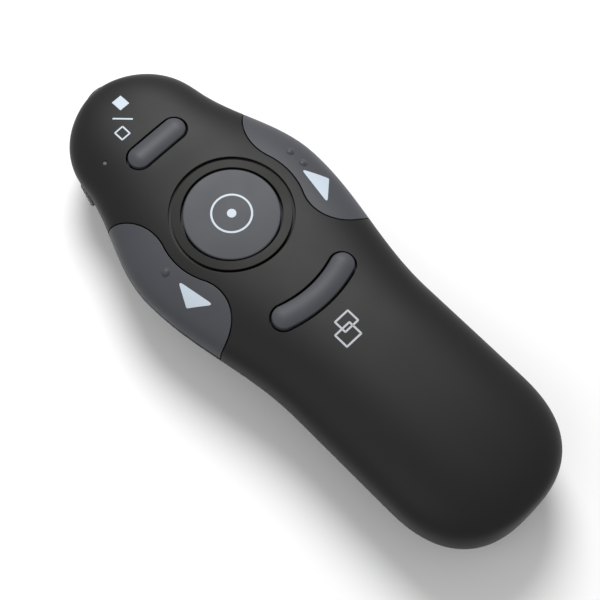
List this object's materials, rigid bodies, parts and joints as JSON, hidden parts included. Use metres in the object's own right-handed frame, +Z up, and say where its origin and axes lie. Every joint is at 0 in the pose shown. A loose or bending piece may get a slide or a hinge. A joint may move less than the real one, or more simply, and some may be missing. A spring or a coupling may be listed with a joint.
{
  "type": "wireless presentation clicker",
  "caption": "Hand-held presentation clicker with a waisted soft-touch shell, sprung keys, a side power slider, a swinging battery door and a docked plug-in receiver.",
  "frame": {"origin": "on the table under the middle of the body, at half its length and width", "axes": "+Y to the nose, where the beam leaves; +Z up out of the keys; +X to the right of someone who points the nose away"},
  "size_m": [0.0472, 0.125, 0.0239],
  "materials": {
    "soft_shell": "rubberised soft-touch coat on plastic, dark and even",
    "ring_plastic": "satin black trim",
    "key_plastic": "satin blue-grey coat",
    "stem_plastic": "bare moulded plastic",
    "slider_plastic": "satin grey moulding",
    "black_plastic": "plain black moulding",
    "board_laminate": "green solder mask",
    "lens_plastic": "clear moulded plastic",
    "brass": "turned brass",
    "sheet_steel": "stamped steel",
    "contact_nickel": "nickel-plated spring steel",
    "plug_steel": "stamped plug shell",
    "screw_steel": "blackened screws",
    "cell_jacket": "plain film jacket, unprinted",
    "mark_ink": "pale printed ink"
  },
  "bodies": {
    "shell": {"upper_shell": "soft_shell", "lower_shell": "soft_shell", "button_ring": "ring_plastic", "slide_switch": "sheet_steel", "switch_cases": "black_plastic", "board": "board_laminate", "radio_chip": "black_plastic", "crystal": "sheet_steel", "status_led": "lens_plastic", "light_pipe": "lens_plastic", "aperture_ring": "black_plastic", "laser_barrel": "brass", "laser_lens": "lens_plastic", "laser_diode": "brass", "laser_board": "board_laminate", "cell_left": "cell_jacket", "cell_right": "cell_jacket", "bridge_contact": "contact_nickel", "spring_contact": "contact_nickel", "plus_contact": "contact_nickel", "screws": "screw_steel"},
    "laser_key": {"laser_button": "key_plastic", "laser_stem": "stem_plastic"},
    "blank_key": {"blank_button": "key_plastic", "blank_stem": "stem_plastic"},
    "window_key": {"window_button": "key_plastic", "window_stem": "stem_plastic"},
    "prev_key": {"prev_button": "key_plastic", "prev_stem": "stem_plastic"},
    "next_key": {"next_button": "key_plastic", "next_stem": "stem_plastic"},
    "power": {"power_slider": "slider_plastic", "slide_lever": "stem_plastic"},
    "door": {"battery_door": "soft_shell"},
    "receiver": {"receiver_case": "black_plastic", "receiver_plug": "plug_steel", "receiver_insert": "black_plastic"}
  },
  "joints": [
    {"name": "laser_press", "type": "slide", "parent": "shell", "child": "laser_key", "axis": [0, 0, -1], "range_m": [0, 0.0004], "stiffness_N_per_m": 2500},
    {"name": "blank_press", "type": "slide", "parent": "shell", "child": "blank_key", "axis": [0, 0, -1], "range_m": [0, 0.0004], "stiffness_N_per_m": 2500},
    {"name": "window_press", "type": "slide", "parent": "shell", "child": "window_key", "axis": [0, 0, -1], "range_m": [0, 0.0004], "stiffness_N_per_m": 2500},
    {"name": "prev_press", "type": "slide", "parent": "shell", "child": "prev_key", "axis": [0, 0, -1], "range_m": [0, 0.0004], "stiffness_N_per_m": 2500},
    {"name": "next_press", "type": "slide", "parent": "shell", "child": "next_key", "axis": [0, 0, -1], "range_m": [0, 0.0004], "stiffness_N_per_m": 2500},
    {"name": "power_slide", "type": "slide", "parent": "shell", "child": "power", "axis": [0, -1, 0], "range_m": [0, 0.002]},
    {"name": "door_swing", "type": "hinge", "parent": "shell", "child": "door", "pos_m": [0, 0.00855, 0], "axis": [1, 0, 0], "range_deg": [0, 45]},
    {"name": "receiver_pull", "type": "slide", "parent": "shell", "child": "receiver", "axis": [0, -1, 0], "range_m": [0, 0.022]}
  ]
}
